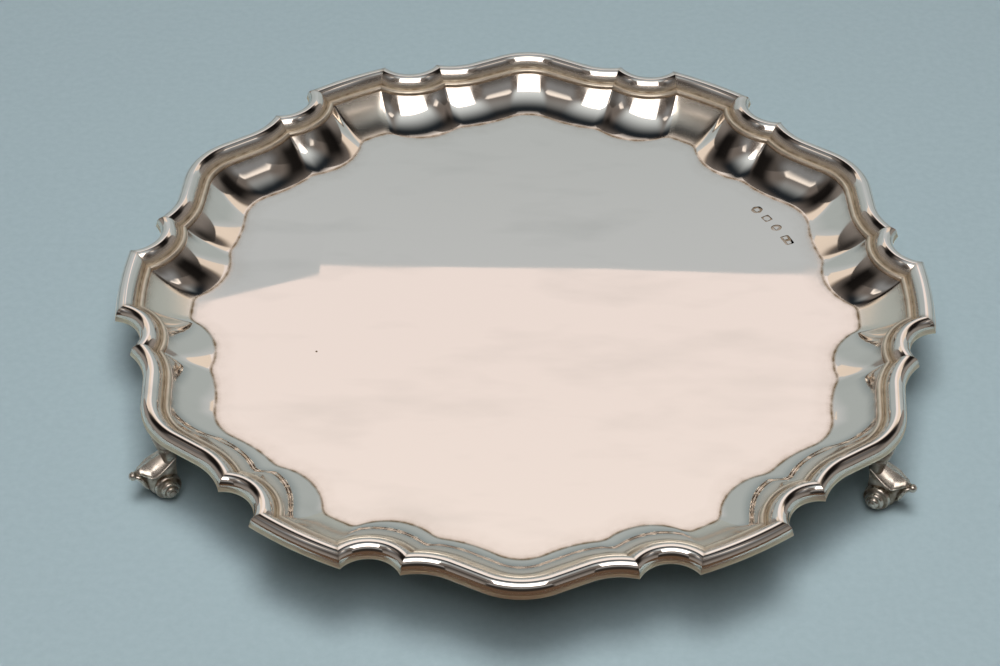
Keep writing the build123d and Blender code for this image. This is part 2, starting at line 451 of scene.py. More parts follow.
def silver_material(name, finish, stain_and_shade_colour, wave, smears):
    """Sterling silver, hand-polished: a warm near mirror, brown with sulphide where a cloth can't reach.

    wave is the height of its slow hammered waviness, and smears how far handling has dulled it. The meshes
    carry how tarnished and how worn each place is; on the feet the tarnish also holds painted shade from the
    tray above.
    """
    material = new_material(name)
    tree = material.node_tree
    place = add_node(tree, "ShaderNodeTexCoord").outputs["Object"]
    tarnish_and_shade = add_node(tree, "ShaderNodeAttribute", {"attribute_name": "tarnish"}).outputs["Fac"]
    wear = add_node(tree, "ShaderNodeAttribute", {"attribute_name": "wear"}).outputs["Fac"]
    # Tarnish breaks up over about 3 mm
    patches = add_node(tree, "ShaderNodeTexNoise", {"Scale": 1 / (3 * MM), "Detail": 5.0}, {"Vector": place})
    broken = add_node(
        tree,
        "ShaderNodeMapRange",
        {"From Min": 0.3, "From Max": 0.7, "To Min": 0.45, "To Max": 1.15},
        {"Value": patches.outputs["Fac"]},
    )
    stain_and_shade = add_node(
        tree, "ShaderNodeMath", {"operation": "MULTIPLY", "use_clamp": True}, {0: tarnish_and_shade, 1: broken.outputs[0]}
    ).outputs[0]
    # Dulled patches some 40 mm across, drawn out into the strokes of a polishing cloth
    stretched = add_node(
        tree, "ShaderNodeMapping", {"Rotation": (0, 0, 0.5), "Scale": (1.0, 2.6, 1.0)}, {"Vector": place}
    )
    clouds = add_node(
        tree,
        "ShaderNodeTexNoise",
        {"Scale": 1 / (40 * MM), "Detail": 3.0, "Roughness": 0.5},
        {"Vector": stretched.outputs[0]},
    )
    dulled = add_node(
        tree,
        "ShaderNodeMapRange",
        {"From Min": 0.52, "From Max": 0.78, "To Min": 0.0, "To Max": smears},
        {"Value": clouds.outputs["Fac"]},
    )
    # The same patches carry a faint grey film
    film = add_node(
        tree,
        "ShaderNodeMapRange",
        {"From Min": 0.53, "From Max": 0.78, "To Min": 0.0, "To Max": 0.26},
        {"Value": clouds.outputs["Fac"]},
    )
    clean = add_node(
        tree,
        "ShaderNodeMix",
        {"data_type": "RGBA", 6: (*finish.silver, 1), 7: linear("#cec8bf")},
        {0: film.outputs[0]},
    )
    # Worn silver is a little yellower, and tarnish covers it; on the feet the same mix also paints shade
    worn = add_node(
        tree, "ShaderNodeMix", {"data_type": "RGBA", 7: linear("#f3e2c8")}, {0: wear, 6: clean.outputs[2]}
    )
    colour = add_node(
        tree, "ShaderNodeMix", {"data_type": "RGBA", 7: (*stain_and_shade_colour, 1)}, {0: stain_and_shade, 6: worn.outputs[2]}
    )
    # Smears, tarnish and wear each add to the roughness of the polish
    satin = add_node(tree, "ShaderNodeMath", {"operation": "ADD", 1: finish.roughness}, {0: dulled.outputs[0]})
    stained = add_node(
        tree, "ShaderNodeMath", {"operation": "MULTIPLY_ADD", 1: 0.32}, {0: stain_and_shade, 2: satin.outputs[0]}
    )
    rough = add_node(
        tree, "ShaderNodeMath", {"operation": "MULTIPLY_ADD", 1: 0.4}, {0: wear, 2: stained.outputs[0]}
    )
    # Slow waves left by the hammer, about 45 mm from one to the next
    waves = add_node(tree, "ShaderNodeTexNoise", {"Scale": 1 / (45 * MM), "Detail": 1.0}, {"Vector": place})
    hammered = add_node(
        tree, "ShaderNodeBump", {"Strength": 1.0, "Distance": wave}, {"Height": waves.outputs["Fac"]}
    )
    # Polishing scratches, drawn about 0.5 mm apart, because real ones are too fine to show
    strokes = add_node(
        tree, "ShaderNodeTexNoise", {"Scale": 1 / (0.5 * MM), "Detail": 2.0}, {"Vector": place}
    )
    scratched = add_node(
        tree,
        "ShaderNodeBump",
        {"Strength": 0.2, "Distance": 0.0006 * MM},
        {"Height": strokes.outputs["Fac"], "Normal": hammered.outputs[0]},
    )
    shader = add_node(
        tree,
        "ShaderNodeBsdfPrincipled",
        {"Metallic": 1.0},
        {"Base Color": colour.outputs[2], "Roughness": rough.outputs[0], "Normal": scratched.outputs[0]},
    )
    add_node(tree, "ShaderNodeOutputMaterial", {}, {"Surface": shader.outputs[0]})
    return material


# ---------------------------------------------------------------- operators


COVE_STEPS = 18


def cove(tray, steps=COVE_STEPS):
    """(depth, height, blend) up the cove from its foot to the border: an arc that steepens as it rises."""
    toe, top = tray.cove_toe, tray.cove_top
    well_top, border_foot, _ = heights(tray)
    levels = []
    for step in range(steps + 1):
        slope = toe + (top - toe) * step / steps
        along = (sin(slope) - sin(toe)) / (sin(top) - sin(toe))
        rise = (cos(toe) - cos(slope)) / (cos(toe) - cos(top))
        depth = tray.cove_depth + along * (tray.border_width - tray.cove_depth)
        levels.append((depth, well_top + rise * (border_foot - well_top), 1 - along))
    return levels


# Struck marks, with plain shapes for devices: radius and angle of the middle, half width and half height,
# corners of the cartouche (0 for an oval), and its devices as (across, up, size, corners).
# The last is a small pit
MARKS = (
    (93.3 * MM, radians(35.2), 1.6 * MM, 1.9 * MM, 6, ((0, 0, 0.95 * MM, 4),)),
    (93.3 * MM, radians(31.9), 1.8 * MM, 1.8 * MM, 4, ((0, 0, 1.0 * MM, 16),)),
    (93.3 * MM, radians(28.5), 1.5 * MM, 1.9 * MM, 0, ((0, 0, 1.0 * MM, 3),)),
    (
        93.3 * MM,
        radians(24.2),
        2.8 * MM,
        1.9 * MM,
        4,
        ((-1.2 * MM, 0, 0.85 * MM, 4), (1.2 * MM, 0, 0.85 * MM, 4)),
    ),
    (66.9 * MM, radians(-163.4), 0.4 * MM, 0.35 * MM, 0, ()),
)
MARK_SUNK, DEVICE_SUNK = 0.15 * MM, 0.05 * MM
MARK_SIDES = 32


def strike(bm, radius, angle, half_width, half_height, corners, devices, well_top):
    """Sinks one mark into the well, with its devices raised from its floor. Returns its rim's edges."""
    layer = coats(bm)[0]
    middle = polar(radius, angle).to_3d() + Vector((0, 0, well_top))
    place = Matrix.Translation(middle) @ Matrix.Rotation(angle, 4, "Z")

    def shape(across, up, half_x, half_y, sides, z, tarnish):
        """A round or polygonal row of vertices. A polygon is cut off a little at its corners."""
        verts = bmesh.ops.create_circle(bm, segments=MARK_SIDES, radius=1)["verts"]
        for vert in verts:
            a = atan2(vert.co.y, vert.co.x)
            reach = 1.0
            if sides:
                share = 2 * pi / sides
                off = (a + pi / 2 + share / 2) % share - share / 2
                reach = min(cos(share / 2) / cos(off), 0.93) * 1.15
            vert.co = place @ Vector((up + half_y * reach * sin(a), -across - half_x * reach * cos(a), z))
            vert[layer] = tarnish
        return verts

    def wall(verts, z, tarnish):
        """Walls from one row of vertices to a new one at another height."""
        moved = extruded(bm, verts)
        for vert in moved:
            vert.co.z = well_top + z
            vert[layer] = tarnish
        return moved

    rim = shape(0, 0, half_width, half_height, corners, 0, 0.0)
    floor_edges = edge_loop(wall(rim, -MARK_SUNK, 1.0))
    for across, up, size, sides in devices:
        foot = shape(across, up, size, size, sides, -MARK_SUNK, 0.9)
        floor_edges += edge_loop(foot)
        bmesh.ops.edgeloop_fill(bm, edges=edge_loop(wall(foot, -DEVICE_SUNK, 0.1)))
    bmesh.ops.triangle_fill(bm, use_beauty=True, edges=floor_edges)
    return edge_loop(rim)


TURN_STEPS = 5
# Rings inside the turn keep the well's shading flat: how far in each lies, and its tarnish
WELL_RINGS = ((0.8 * MM, 0.3), (2.0 * MM, 0.1), (7 * MM, 0.0))
EDGE_ROWS = 3
EDGE_WEAR, RUN_WEAR, COVE_WEAR = 1.0, 0.45, 0.1


class SALVER_OT_tray(bpy.types.Operator):
    """Raises the sheet: flat well, cove and flange"""

    bl_idname = "salver.tray"
    bl_label = "Tray"

    def execute(self, context):
        tray = context.scene.salver_tray
        finish = context.scene.salver_finish
        well_top, border_foot, lip_top = heights(tray)
        up = cove(tray)
        loops, tarnish_and_shade = [], []

        def level(depth, z, blend=0.0, tarnish=0.0):
            # The cove's corners grow rounder towards its foot, and the border's stay sharp
            rounding = min(1.0, 0.25 + blend) if blend else 0.0
            loops.append(ring(tray, depth, z, blend, rounding))
            tarnish_and_shade.append(tarnish)

        # Under the tray, out from the foot of the cove
        for depth, z, blend in up:
            level(depth, z - tray.sheet, blend, 0.25)
        level(0.25 * MM, lip_top - tray.flange_edge, 0, 0.3)
        # The edge at the lip
        edge_row = len(loops)
        level(0.0, lip_top - tray.flange_edge + 0.2 * MM, 0, 0.1)
        level(0.0, lip_top - 0.15 * MM, 0, 0.1)
        level(0.08 * MM, lip_top, 0, 0.3)
        # Over the flange, and down the cove, where the border's tarnish thins out within a few millimetres
        level(tray.border_width - 0.2 * MM, border_foot, 0, 0.9)
        for depth, z, blend in reversed(up[1:]):
            level(depth, z, blend, 0.5 * exp(-(depth - tray.border_width) / (1.2 * MM)))
        # The turn at its foot is a small round, from the cove's slope to the level of the well
        turn = tray.foot_turn
        turn_rise = turn * tan(tray.cove_toe)
        foot = ring(tray, tray.cove_depth, well_top, 1.0, 1.0)

        def drawn_in(reach, z):
            """The cove's foot moved in towards the middle by one distance, at one height."""
            loop = []
            for point in foot:
                kept = 1 - reach / point.xy.length
                loop.append(Vector((point.x * kept, point.y * kept, z)))
            return loop

        for k in range(1, TURN_STEPS + 1):
            past = (2 * k / TURN_STEPS - 1) * turn
            loops.append(drawn_in(past, well_top + turn_rise * (1 - k / TURN_STEPS) ** 2))
            # A brown line about 1 mm wide stays where the cloth skips
            tarnish_and_shade.append(exp(-((past / (0.5 * MM)) ** 2)))
        for reach, tarnish in WELL_RINGS:
            loops.append(drawn_in(reach, well_top))
            tarnish_and_shade.append(tarnish)
        bm = bmesh.new()
        rows = loft(bm, loops, tarnish_and_shade, first_cap=False, last_cap=False)
        wear = coats(bm)[1]
        # The cove is harder for a cloth to reach than the well, most of all at the flat runs
        names = [name for name, steps in STEPS.items() for _ in range(steps)] * REPEATS
        for row in rows[: -len(WELL_RINGS) - 1]:
            for vert, name in zip(row, names):
                vert[wear] = RUN_WEAR if name == "run" else COVE_WEAR
        for row in rows[edge_row : edge_row + EDGE_ROWS]:
            for vert in row:
                vert[wear] = EDGE_WEAR
        # The underside is closed level, below the well
        bmesh.ops.edgeloop_fill(bm, edges=edge_loop(rows[0]))
        rims = [edge_loop(rows[-1])]
        rims += [strike(bm, *mark, well_top) for mark in MARKS]
        bmesh.ops.triangle_fill(bm, use_beauty=True, edges=[edge for rim in rims for edge in rim])
        material = silver_material("Polished sterling sheet", finish, finish.tarnish, 0.02 * MM, 0.02)
        finish_mesh(bm, "tray_sheet", material, "salver_plate")
        return {"FINISHED"}


def wire_section(lip_top, border_foot, crest):
    """The border moulding's section as ((depth, height), tarnish, wear), round from the outside of its base."""
    inset, sunk = 0.15 * MM, 0.05 * MM
    marks = [(Vector((inset, lip_top - sunk)), 0.3, 0.8)]

    def at(depth, drop):
        return depth * MM, crest - drop * MM

    def stretch(start, middle, end, steps, tarnish, wear=lambda t: 0.0):
        """An arc through three points, given in millimetres in from the lip and down from the crest."""
        for k, point in enumerate(arc(at(*start), at(*middle), at(*end), steps)):
            if (point - marks[-1][0]).length > 0.02 * MM:
                marks.append((point, tarnish(k / steps), wear(k / steps)))

    # The lip's edge, the long outer round up to the crest, and the crest
    stretch((0.15, 3.4), (0.18, 3.2), (0.25, 3.05), 3, lambda t: 0.15, lambda t: 0.8)
    stretch(
        (0.35, 2.3), (1.1, 0.77), (2.95, 0), 16, lambda t: 0.12 * (1 - t) ** 2, lambda t: 0.3 * (1 - t) ** 2
    )
    stretch((3.3, 0), (3.62, 0.04), (3.85, 0.16), 4, lambda t: 0)
    # The inner slope, which falls and steepens into the groove
    stretch((3.85, 0.16), (4.5, 0.54), (5.15, 1.15), 8, lambda t: 0.05 * t, lambda t: 0.1 * t)
    stretch((5.15, 1.15), (5.8, 1.95), (6.35, 2.95), 8, lambda t: 0.1 + 0.25 * t, lambda t: 0.1 + 0.7 * t)
    # The groove, and the bead inside it
    stretch((6.35, 2.95), (6.6, 3.3), (7.0, 3.45), 5, lambda t: 0.35 + 0.5 * sin(pi * t), lambda t: 0.9)
    stretch((7.0, 3.45), (7.8, 3.15), (8.4, 3.45), 8, lambda t: 0.45 - 0.3 * sin(pi * t), lambda t: 0.7)
    stretch((8.4, 3.45), (8.54, 3.56), (8.6, 3.72), 3, lambda t: 0.4, lambda t: 0.5)
    marks.append((Vector((8.6 * MM, border_foot - sunk)), 0.9, 0.5))
    return marks


# Kinds of border length: name, pieces of the outline, and number by repeat. Scallops are numbered in pairs,
# one at each end of a straight run
LENGTHS = (
    ("straight", ("run",), lambda k: k + 1),
    ("ogee", OGEE, lambda k: k + 1),
    ("scallop", ("scallop",), lambda k: 2 * k + 1),
    ("scallop", ("scallop_back",), lambda k: 2 * ((k + 1) % REPEATS) + 2),
)
MITRE_TARNISH = (0.45, 0.1)  # least tarnish of the first sections from a mitre


class SALVER_OT_border(bpy.types.Operator):
    """Makes the lengths of border wire, each mitred to the next"""

    bl_idname = "salver.border"
    bl_label = "Border"

    def execute(self, context):
        tray = context.scene.salver_tray
        finish = context.scene.salver_finish
        _, border_foot, lip_top = heights(tray)
        section = wire_section(lip_top, border_foot, CREST)
        outlines = [Outline(tray, place.x) for place, _, _ in section]
        material = silver_material("Polished sterling border wire", finish, finish.tarnish, 0.02 * MM, 0.1)
        for kind, names, numbered in LENGTHS:
            columns = []
            for outline in outlines:
                column = [outline.piece(names[0])[1]]
                for name in names:
                    column += outline.points(name, STEPS[name])[1:]
                columns.append(column)
            for k in range(REPEATS):
                loops = [
                    [
                        turned(point, k * REPEAT_ANGLE).to_3d() + Vector((0, 0, place.y))
                        for point, (place, _, _) in zip(points, section)
                    ]
                    for points in zip(*columns)
                ]
                bm = bmesh.new()
                rows = loft(bm, loops)
                tarnish, wear = coats(bm)
                for r, row in enumerate(rows):
                    from_mitre = min(r, len(rows) - 1 - r)
                    least = MITRE_TARNISH[from_mitre] if from_mitre < len(MITRE_TARNISH) else 0
                    for vert, (_, tarnish_and_shade, worn) in zip(row, section):
                        vert[tarnish] = max(tarnish_and_shade, least)
                        vert[wear] = worn
                number = numbered(k)
                finish_mesh(bm, f"wire_{kind}_{number}", material, f"border_{kind}_{number}")
        return {"FINISHED"}


def eased(stations, place):
    """Values at one place on a smooth curve through stations of (place, value, value...)."""
    last = len(stations) - 1
    k = max(i for i in range(last) if stations[i][0] <= place or i == 0)
    before, start, end, after = (stations[min(max(i, 0), last)] for i in (k - 1, k, k + 1, k + 2))
    t = (place - start[0]) / (end[0] - start[0])
    span = end[0] - start[0]
    values = []
    for p0, p1, p2, p3 in zip(before[1:], start[1:], end[1:], after[1:]):
        slope_1 = (p2 - p0) / (end[0] - before[0]) * span
        slope_2 = (p3 - p1) / (after[0] - start[0]) * span
        cubic = (2 * t**3 - 3 * t**2 + 1) * p1 + (t**3 - 2 * t**2 + t) * slope_1
        values.append(cubic + (3 * t**2 - 2 * t**3) * p2 + (t**3 - t**2) * slope_2)
    return values


# The feet's sizes are in millimetres, for the foot that stands out along +X.
# The scroll's body, by reach: ridge height, half width and height of the petals' edge,
# half width under the petals, and height of the base
SCROLL = (
    (120.4, 15.6, 3.3, 13.9, 3.0, 3.2),
    (122.5, 14.8, 3.8, 12.7, 3.4, 1.3),
    (125.5, 13.8, 4.4, 11.2, 3.1, 0.5),
    (127.4, 13.1, 4.5, 10.3, 3.4, 1.2),
    (128.5, 12.7, 4.1, 9.9, 3.3, 2.2),
    (129.2, 12.4, 3.6, 10.0, 2.6, 3.6),
    (130.2, 11.9, 2.6, 10.3, 1.4, 5.4),
    (131.1, 11.6, 1.8, 10.6, 0.9, 7.4),
    (131.9, 11.0, 0.9, 10.3, 0.6, 8.6),
)
# The leg, by height: reach of its middle, half depth and half width. Two rings stand round its top
LEG = (
    (7.0, 122.6, 2.4, 3.0),
    (12.0, 121.8, 2.3, 3.3),
    (15.0, 121.6, 2.4, 3.6),
    (17.4, 121.8, 2.7, 3.9),
    (18.2, 121.9, 3.3, 4.5),
    (19.0, 121.9, 3.0, 4.1),
    (19.9, 122.0, 3.6, 4.8),
    (20.9, 122.0, 3.5, 4.7),
    (21.5, 121.9, 2.9, 4.0),
    (25.5, 121.9, 3.1, 4.2),
)
# The knob at the beak's tip: its middle and radius, and the turns at which its sections are taken
KNOB, KNOB_RADIUS = Vector((133.12, 0, 9.5)), 1.36
KNOB_TURNS = (-0.8, -0.4, 0, 0.4, 0.8, 1.15, 1.45)
# The tail that curls down beside the knob: reach, distance to the side, height, radius and tarnish
TAIL = (
    (132.6, 0.5, 9.3, 0.7, 0.1),
    (131.7, 1.3, 9.0, 0.75, 0.05),
    (131.0, 1.9, 8.0, 0.66, 0.05),
    (130.6, 2.2, 6.8, 0.56, 0.1),
    (130.1, 2.3, 5.5, 0.4, 0.15),
    (129.4, 2.3, 4.4, 0.2, 0.2),
)
TAIL_STEPS = 25
# The volute on each side, a snail shell whose whorls step out to its tip: radius, distance to the side, tarnish
VOLUTE_REACH, VOLUTE_HEIGHT, VOLUTE_RADIUS = 124.0, 4.25, 4.2
WHORLS = (
    (4.25, 3.0, 0.12),
    (4.22, 3.9, 0.12),
    (4.05, 4.5, 0.12),
    (3.75, 4.9, 0.95),
    (3.35, 5.05, 0.95),
    (3.1, 5.1, 0.95),
    (2.95, 5.3, 0.95),
    (2.9, 5.9, 0.12),
    (2.75, 6.3, 0.12),
    (2.4, 6.5, 0.12),
    (2.05, 6.5, 0.95),
    (1.85, 6.65, 0.95),
    (1.78, 7.05, 0.12),
    (1.6, 7.35, 0.12),
    (1.25, 7.45, 0.12),
    (1.05, 7.5, 0.95),
    (0.85, 7.7, 0.12),
    (0.5, 7.9, 0.12),
    (0.2, 7.95, 0.12),
)
BODY_STEPS, LEG_STEPS = 40, 40
BODY_SIDES, KNOB_SIDES, TAIL_SIDES, VOLUTE_SIDES = 40, 20, 14, 48
# The least darkening of a foot: partly tarnish, partly painted shade from the tray above
FOOT_LEAST_TARNISH_AND_SHADE, FOOT_WEAR = 0.5, 0.28


def scroll_section(reach):
    """One section across the scroll's body, round from the ridge, as (side, height, tarnish and painted shade).
    """
    ridge, half, edge, under, base = eased(SCROLL, reach)
    body = edge - 1.9 - base
    side = [(0.0, ridge, 0.0)]
    # The petals' back, their rolled edge, the undercut, and the body down to its base
    for t in (0.1, 0.2, 0.32, 0.45, 0.6, 0.75, 0.88, 0.97):
        side.append((half * t, edge + (ridge - edge) * (1 - t) ** 1.9, 0.25 * (1 - t)))
    side += [(half, edge - 0.1, 0.0), (half - 0.03, edge - 0.4, 0.1), (half - 0.2, edge - 0.6, 0.6)]
    side += [(min(half - 0.9, under - 0.5), edge - 1.0, 1.0), (under - 0.35, edge - 1.5, 0.9)]
    # Below the petals' edge the body is dark: partly tarnish, partly painted shade under the tray
    side += [(under, edge - 1.9, 0.9), (under, base + 0.5 * body, 0.8)]
    side += [(0.95 * under, base + 0.24 * body, 0.8), (0.8 * under, base + 0.08 * body, 0.85)]
    side.append((0.45 * under, base, 0.9))
    # No point crosses the middle where the body narrows to the beak
    side = [(max(y, 0.05 * k), z, tarnish_and_shade) for k, (y, z, tarnish_and_shade) in enumerate(side)]
    return side + [(0.0, base, 0.5)] + [(-y, z, tarnish_and_shade) for y, z, tarnish_and_shade in reversed(side[1:])]


def tube(bm, path, sides):
    """A round, tapering rod through (point, radius, tarnish) stations in the foot's own frame."""
    loops, tarnish_and_shade = [], []
    for k, (point, radius, tarnish) in enumerate(path):
        along = (path[min(k + 1, len(path) - 1)][0] - path[max(k - 1, 0)][0]).normalized()
        across = along.cross(Vector((0, 0, 1)) if abs(along.z) < 0.9 else Vector((0, 1, 0))).normalized()
        up = across.cross(along)
        turns = [2 * pi * i / sides for i in range(sides)]
        loops.append([(point + (across * cos(a) + up * sin(a)) * radius) * MM for a in turns])
        tarnish_and_shade.append(tarnish)
    loft(bm, loops, tarnish_and_shade)


def sheet_under(reach, tray):
    """Height of the tray's underside over one reach along an ogee's radius."""
    well_top, border_foot, _ = heights(tray)
    depth = tray.rim_radius - reach
    if depth < tray.border_width:
        return border_foot - tray.sheet
    levels = cove(tray, 12)
    for (d1, z1, _), (d2, z2, _) in zip(levels, levels[1:]):
        if d2 <= depth <= d1:
            return z1 + (z2 - z1) * (d1 - depth) / (d1 - d2) - tray.sheet
    return well_top - tray.sheet


def scroll_body(bm):
    """The scroll's body, from the ankle to the root of the beak."""
    first, last = SCROLL[0][0], SCROLL[-1][0]
    reaches = [first + (last - first) * k / BODY_STEPS for k in range(BODY_STEPS + 1)]
    sections = [scroll_section(reach) for reach in reaches]
    rows = loft(
        bm, [[Vector((x, y, z)) * MM for y, z, _ in section] for x, section in zip(reaches, sections)]
    )
    tarnish = coats(bm)[0]
    for row, section in zip(rows, sections):
        for vert, (_, _, tarnish_and_shade) in zip(row, section):
            vert[tarnish] = tarnish_and_shade


def leg(bm, tray):
    """The squarish oval leg, up to just inside the sheet."""
    low, high = LEG[0][0], LEG[-1][0]
    loops, tarnish_and_shade = [], []
    for k in range(LEG_STEPS + 1):
        z = low + (high - low) * k / LEG_STEPS
        middle, deep, wide = eased(LEG, z)
        loop = []
        for i in range(BODY_SIDES):
            c, s = cos(2 * pi * i / BODY_SIDES), sin(2 * pi * i / BODY_SIDES)
            x = middle + deep * copysign(abs(c) ** 0.8, c)
            y = wide * copysign(abs(s) ** 0.8, s)
            top = sheet_under(hypot(x, y) * MM, tray) + 0.3 * MM
            loop.append(Vector((x * MM, y * MM, min(z * MM, top))))
        loops.append(loop)
        # Darkest in the grooves beside the upper ring; the rest of the leg is darkened partly by tarnish,
        # partly by painted shade under the tray
        tarnish_and_shade.append(0.95 if 18.6 < z < 19.4 or 21.2 < z < 22 else 0.7)
    loft(bm, loops, tarnish_and_shade)


def knob(bm):
    """The beak's short neck and the knob at its tip."""
    neck = [(KNOB - Vector((2.2, 0, -0.3)), 0.7, 0.3), (KNOB - Vector((1.5, 0, -0.15)), 0.75, 0.4)]
    ball = [(KNOB + Vector((KNOB_RADIUS * sin(a), 0, 0)), KNOB_RADIUS * cos(a), 0.0) for a in KNOB_TURNS]
    tube(bm, neck + ball, KNOB_SIDES)


def tail(bm, side):
    """The tail beside the knob, on one side."""
    stations = [(k, *station) for k, station in enumerate(TAIL)]
    path = []
    for k in range(TAIL_STEPS + 1):
        x, y, z, radius, tarnish_and_shade = eased(stations, k * stations[-1][0] / TAIL_STEPS)
        path.append((Vector((x, side * y, z)), radius, tarnish_and_shade))
    tube(bm, path, TAIL_SIDES)


def volute(bm, side):
    """The snail shell on one side."""
    centre = Vector((VOLUTE_REACH, 0, VOLUTE_HEIGHT))
    loops = []
    for radius, out, _ in WHORLS:
        # The smaller whorls lie a little off the middle, as a wound scroll's do
        wound = max(0.0, (VOLUTE_RADIUS - radius) / VOLUTE_RADIUS)
        loop = []
        for i in range(VOLUTE_SIDES):
            a = 2 * pi * i / VOLUTE_SIDES
            swing = radius * (1 + 0.10 * wound * cos(a - 2.2))
            loop.append((centre + Vector((swing * cos(a), side * out, swing * sin(a)))) * MM)
        loops.append(loop)
    loft(bm, loops, [tarnish_and_shade for _, _, tarnish_and_shade in WHORLS])


class SALVER_OT_feet(bpy.types.Operator):
    """Casts the scroll feet"""

    bl_idname = "salver.feet"
    bl_label = "Feet"

    def execute(self, context):
        tray = context.scene.salver_tray
        finish = context.scene.salver_finish
        material = silver_material("Cast sterling", finish, finish.grime_and_shade, 0.03 * MM, 0.1)
        for number, angle in enumerate(FOOT_ANGLES, 1):
            bm = bmesh.new()
            scroll_body(bm)
            leg(bm, tray)
            knob(bm)
            for side in (1, -1):
                tail(bm, side)
                volute(bm, side)
            tarnish, wear = coats(bm)
            # Every foot is darkened at least this far, partly tarnish and partly painted shade, and dulled by
            # wear
            for vert in bm.verts:
                vert[tarnish] = max(vert[tarnish], FOOT_LEAST_TARNISH_AND_SHADE)
                vert[wear] = FOOT_WEAR
            bm.transform(Matrix.Rotation(angle, 4, "Z"))
            finish_mesh(bm, f"foot_cast_{number}", material, f"foot_{number}", radians(50))
        return {"FINISHED"}


# ---------------------------------------------------------------- stage


def glow(name, low, high=None, low_at=0.0, high_at=1.0, strength=1.0, soft=0.0):
    """A card's own light, graded up the card (0 to 1) from one hex colour to another.

    soft is the share of the card over which its edges fade away.
    """
    material = new_material(name)
    tree = material.node_tree
    place = add_node(tree, "ShaderNodeUVMap", {"uv_map": "card"}).outputs["UV"]
    split = add_node(tree, "ShaderNodeSeparateXYZ", {}, {"Vector": place})
    grade = add_node(
        tree,
        "ShaderNodeMapRange",
        {"interpolation_type": "SMOOTHSTEP", "From Min": low_at, "From Max": high_at},
        {"Value": split.outputs["Y"]},
    )
    ends = {"data_type": "RGBA", 6: linear(low), 7: linear(high or low)}
    mixed = add_node(tree, "ShaderNodeMix", ends, {0: grade.outputs[0]})
    surface = add_node(tree, "ShaderNodeEmission", {"Strength": strength}, {"Color": mixed.outputs[2]})
    if soft:
        middle = {"operation": "SUBTRACT", 1: (0.5, 0.5, 0.0)}
        centred = add_node(tree, "ShaderNodeVectorMath", middle, {0: place})
        away = add_node(tree, "ShaderNodeVectorMath", {"operation": "ABSOLUTE"}, {0: centred.outputs[0]})
        parts = add_node(tree, "ShaderNodeSeparateXYZ", {}, {"Vector": away.outputs[0]})
        fades = [
            add_node(
                tree,
                "ShaderNodeMapRange",
                {"interpolation_type": "SMOOTHSTEP", "From Min": 0.5, "From Max": 0.5 - soft},
                {"Value": parts.outputs[part]},
            ).outputs[0]
            for part in ("X", "Y")
        ]
        kept = add_node(tree, "ShaderNodeMath", {"operation": "MULTIPLY"}, {0: fades[0], 1: fades[1]})
        clear = add_node(tree, "ShaderNodeBsdfTransparent")
        surface = add_node(
            tree,
            "ShaderNodeMixShader",
            {},
            {0: kept.outputs[0], 1: clear.outputs[0], 2: surface.outputs[0]},
        )
    add_node(tree, "ShaderNodeOutputMaterial", {}, {"Surface": surface.outputs[0]})
    return material


def direction(azimuth, elevation):
    """Unit vector by degrees: azimuth from +Y towards +X, elevation above the table."""
    a, e = radians(azimuth), radians(elevation)
    return Vector((sin(a) * cos(e), cos(a) * cos(e), sin(e)))


def card(name, corners, material):
    """A four-cornered card (low left, low right, high right, high left), seen only in reflections."""
    low_left, low_right, high_right, high_left = (Vector(corner) for corner in corners)
    bm = bmesh.new()
    bm.loops.layers.uv.new("card")
    for vert in bmesh.ops.create_grid(bm, x_segments=1, y_segments=1, size=0.5, calc_uvs=True)["verts"]:
        u, v = vert.co.x + 0.5, vert.co.y + 0.5
        vert.co = low_left.lerp(low_right, u).lerp(high_left.lerp(high_right, u), v)
    made = new_object(bm, name, material)
    made.visible_camera = False
    made.visible_diffuse = False
    made.visible_shadow = False


def wide_card(name, half_width, low, high, material):
    """A card across the tray's middle plane, between two edges given as (y, z)."""
    card(name, [(-half_width, *low), (half_width, *low), (half_width, *high), (-half_width, *high)], material)


def sky_card(name, distance, patch, material):
    """A card whose corners stand in four directions, in degrees, at one distance from the tray."""
    card(name, [direction(*corner) * distance for corner in patch], material)


def area_lamp(name, place, target, size, power, tint):
    """A soft lamp that faces a target, and that no reflection shows."""
    data = bpy.data.lights.new(name, "AREA")
    data.shape = "RECTANGLE"
    data.size, data.size_y = size
    data.energy = power
    data.color = linear(tint)[:3]
    lamp = bpy.data.objects.new(name, data)
    away = Vector(place) - Vector(target)
    lamp.matrix_world = Matrix.Translation(place) @ away.to_track_quat("Z", "Y").to_matrix().to_4x4()
    lamp.visible_glossy = False
    lamp.visible_camera = False
    bpy.context.scene.collection.objects.link(lamp)


def lay_floor(size):
    """A pale blue-grey paper floor: matt, with a fibre that only just shows."""
    paper = bpy.data.materials.new("Blue-grey paper")
    paper.use_nodes = True
    tree = paper.node_tree
    shader = tree.nodes["Principled BSDF"]
    shader.inputs["Roughness"].default_value = 0.95
    shader.inputs["Specular IOR Level"].default_value = 0.1
    place = add_node(tree, "ShaderNodeTexCoord").outputs["Object"]
    # Fibres about 2.5 mm long
    fibre = add_node(tree, "ShaderNodeTexNoise", {"Scale": 1 / (2.5 * MM), "Detail": 3}, {"Vector": place})
    tone = add_node(
        tree,
        "ShaderNodeMix",
        {"data_type": "RGBA", 6: linear("#92a4aa"), 7: linear("#9dafb5")},
        {0: fibre.outputs["Fac"]},
    )
    tree.links.new(tone.outputs[2], shader.inputs["Base Color"])
    bm = bmesh.new()
    bmesh.ops.create_grid(bm, x_segments=1, y_segments=1, size=size / 2)
    new_object(bm, "floor", paper)


